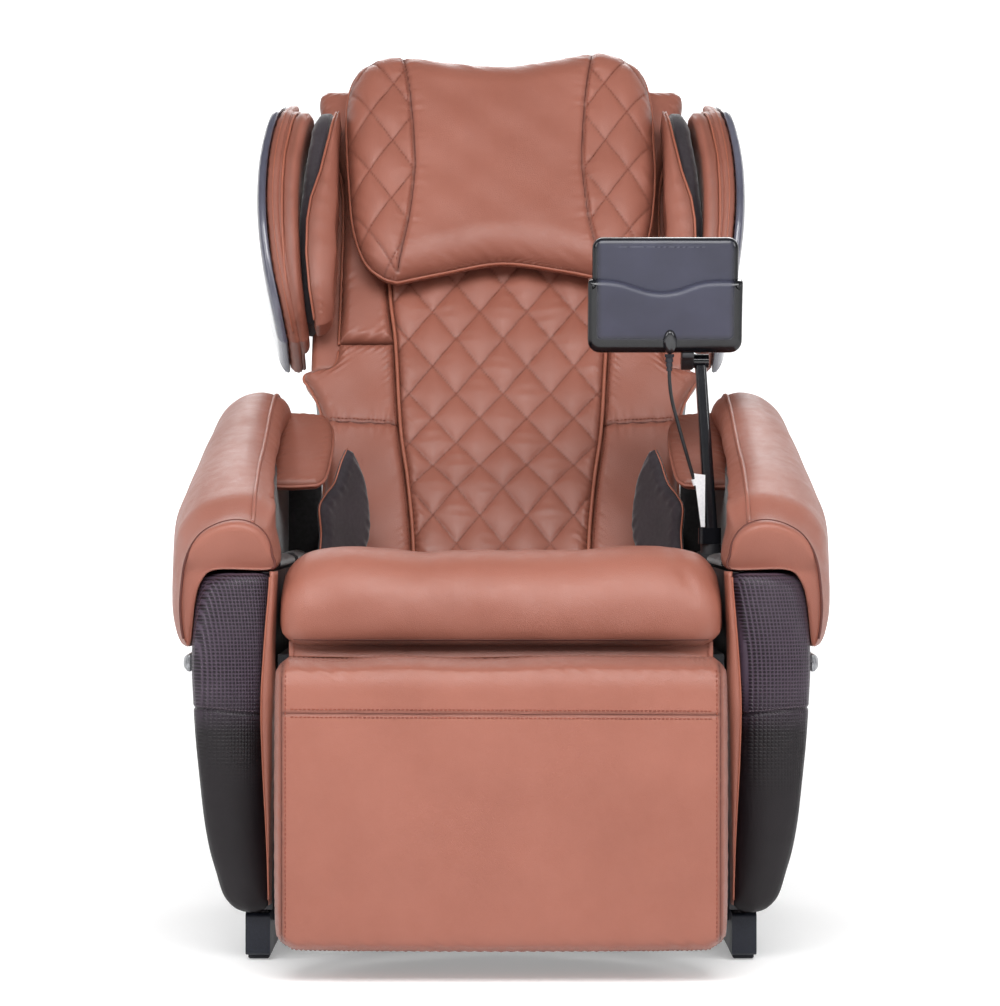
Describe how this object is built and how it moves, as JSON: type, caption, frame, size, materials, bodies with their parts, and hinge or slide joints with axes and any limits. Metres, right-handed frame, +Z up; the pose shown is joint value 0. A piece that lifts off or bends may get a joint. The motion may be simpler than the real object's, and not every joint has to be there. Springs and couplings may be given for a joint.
{
  "type": "massage chair",
  "caption": "Reclining massage chair with a diamond-quilted back and pillow, shoulder wings, padded arm pods, lifting legrest and a tablet controller on a stalk.",
  "frame": {"origin": "on the floor under the middle of the chair's overall box", "axes": "-Y is the front, where the legrest is, +X is the side with the tablet stalk, +Z is up"},
  "size_m": [0.782, 1.2723, 1.1783],
  "materials": {
    "tan_leather": "soft grained",
    "dark_leather": "soft grained",
    "dark_fabric": "woven",
    "black_plastic": "fine texture",
    "gloss_black": "polished",
    "grey_shell": "satin",
    "screen": "polished",
    "silver": "metallic paint",
    "black_steel": "powder coat",
    "bright_steel": "ground",
    "motor": "satin",
    "valve_plastic": "moulded",
    "roller": "moulded",
    "wood_board": "plywood",
    "rubber": "matt",
    "cord_rubber": "satin",
    "label_white": "film",
    "switch_red": "moulded"
  },
  "bodies": {
    "chair": {"base_rails": "black_steel", "base_crossmembers": "black_steel", "rubber_feet": "rubber", "seat_frame": "black_steel", "seat_pan": "wood_board", "seat_cushion": "tan_leather", "seat_apron": "tan_leather", "arm_inner_wall_right": "black_plastic", "arm_inner_wall_left": "black_plastic", "arm_panel_right": "dark_leather", "arm_panel_left": "dark_leather", "arm_pod_right": "tan_leather", "arm_pod_left": "tan_leather", "arm_trim_right": "silver", "arm_trim_left": "silver", "arm_flap_right": "tan_leather", "arm_flap_left": "tan_leather", "hip_airbag_right": "dark_fabric", "hip_airbag_left": "dark_fabric", "recline_pins": "bright_steel", "legrest_actuator": "motor", "recline_actuator": "motor", "air_pump": "motor", "control_box": "black_plastic", "power_box": "black_plastic", "tablet_bracket": "black_plastic"},
    "backrest": {"back_frame": "black_steel", "massage_track": "bright_steel", "guide_rod": "bright_steel", "air_valve_block": "valve_plastic", "back_cover": "black_plastic", "back_centre_pad": "tan_leather", "back_side_pad_right": "tan_leather", "back_side_pad_left": "tan_leather", "wing_pad_right": "tan_leather", "wing_pad_left": "tan_leather", "wing_shell_right": "gloss_black", "wing_shell_left": "gloss_black", "wing_airbag_right": "dark_fabric", "wing_airbag_left": "dark_fabric"},
    "pillow": {"head_pillow": "tan_leather"},
    "massage_carriage": {"massage_carriage": "black_steel", "kneading_motors": "motor"},
    "knead_right": {"kneading_head_right": "roller"},
    "knead_left": {"kneading_head_left": "roller"},
    "legrest_swing": {"legrest_swing_frame": "black_steel"},
    "legrest": {"legrest_gliders": "black_plastic", "legrest_back_shell": "black_plastic", "legrest_cushion": "tan_leather"},
    "recline_rod": {"recline_actuator_rod": "bright_steel"},
    "legrest_rod": {"legrest_actuator_rod": "bright_steel"},
    "tablet_stalk": {"tablet_stalk": "gloss_black", "control_cord": "cord_rubber", "cord_tag": "label_white"},
    "tablet": {"tablet_holder": "grey_shell", "tablet": "screen", "cable_boot": "rubber"},
    "wheel_right": {"transport_wheel_right": "rubber"},
    "wheel_left": {"transport_wheel_left": "rubber"},
    "power_switch": {"power_switch": "switch_red"}
  },
  "joints": [
    {"name": "recline", "type": "hinge", "parent": "chair", "child": "backrest", "pos_m": [0, 0.145, 0.36], "axis": [-1, 0, 0], "range_deg": [0, 45]},
    {"name": "pillow_lift", "type": "hinge", "parent": "backrest", "child": "pillow", "pos_m": [0, 0.4966, 1.1448], "axis": [-1, 0, 0], "range_deg": [0, 120]},
    {"name": "massage_travel", "type": "slide", "parent": "backrest", "child": "massage_carriage", "axis": [0, 0.4695, 0.8829], "range_m": [0, 0.48]},
    {"name": "knead_right", "type": "hinge", "parent": "massage_carriage", "child": "knead_right", "pos_m": [0, 0.26006, 0.54232], "axis": [1, 0, 0], "range_deg": [-12, 12]},
    {"name": "knead_left", "type": "hinge", "parent": "massage_carriage", "child": "knead_left", "pos_m": [0, 0.26006, 0.54232], "axis": [1, 0, 0], "range_deg": [-12, 12]},
    {"name": "legrest_raise", "type": "hinge", "parent": "chair", "child": "legrest_swing", "pos_m": [0, -0.465, 0.3], "axis": [-1, 0, 0], "range_deg": [0, 80]},
    {"name": "legrest_extend", "type": "slide", "parent": "legrest_swing", "child": "legrest", "axis": [0, 0, -1], "range_m": [0, 0.1205]},
    {"name": "recline_rod", "type": "slide", "parent": "chair", "child": "recline_rod", "axis": [0, -1, 0], "range_m": [0, 0.06948]},
    {"name": "legrest_rod", "type": "slide", "parent": "chair", "child": "legrest_rod", "axis": [0, -1, 0], "range_m": [0, 0.07773]},
    {"name": "stalk_swivel", "type": "hinge", "parent": "chair", "child": "tablet_stalk", "pos_m": [0.263, -0.08, 0.46], "axis": [0, 0, 1], "range_deg": [-10, 100]},
    {"name": "tablet_tilt", "type": "hinge", "parent": "tablet_stalk", "child": "tablet", "pos_m": [0.233, -0.08, 0.697], "axis": [-1, 0, 0], "range_deg": [-15, 35], "deforming": ["control_cord"]},
    {"name": "wheel_right_spin", "type": "hinge", "parent": "chair", "child": "wheel_right", "pos_m": [0.303, 0.322, 0.036], "axis": [1, 0, 0], "continuous": true},
    {"name": "wheel_left_spin", "type": "hinge", "parent": "chair", "child": "wheel_left", "pos_m": [-0.303, 0.322, 0.036], "axis": [1, 0, 0], "continuous": true},
    {"name": "power_rocker", "type": "hinge", "parent": "chair", "child": "power_switch", "pos_m": [0.12, 0.328, 0.092], "axis": [1, 0, 0], "range_deg": [0, 16]}
  ],
  "couplings": [
    {"joint": "knead_left", "follows": "knead_right", "ratio": -1},
    {"joint": "legrest_extend", "follows": "legrest_raise", "m_per_rad": 0.08594},
    {"joint": "legrest_rod", "follows": "legrest_raise", "m_per_rad": 0.05524},
    {"joint": "recline_rod", "follows": "recline", "m_per_rad": 0.0877}
  ]
}
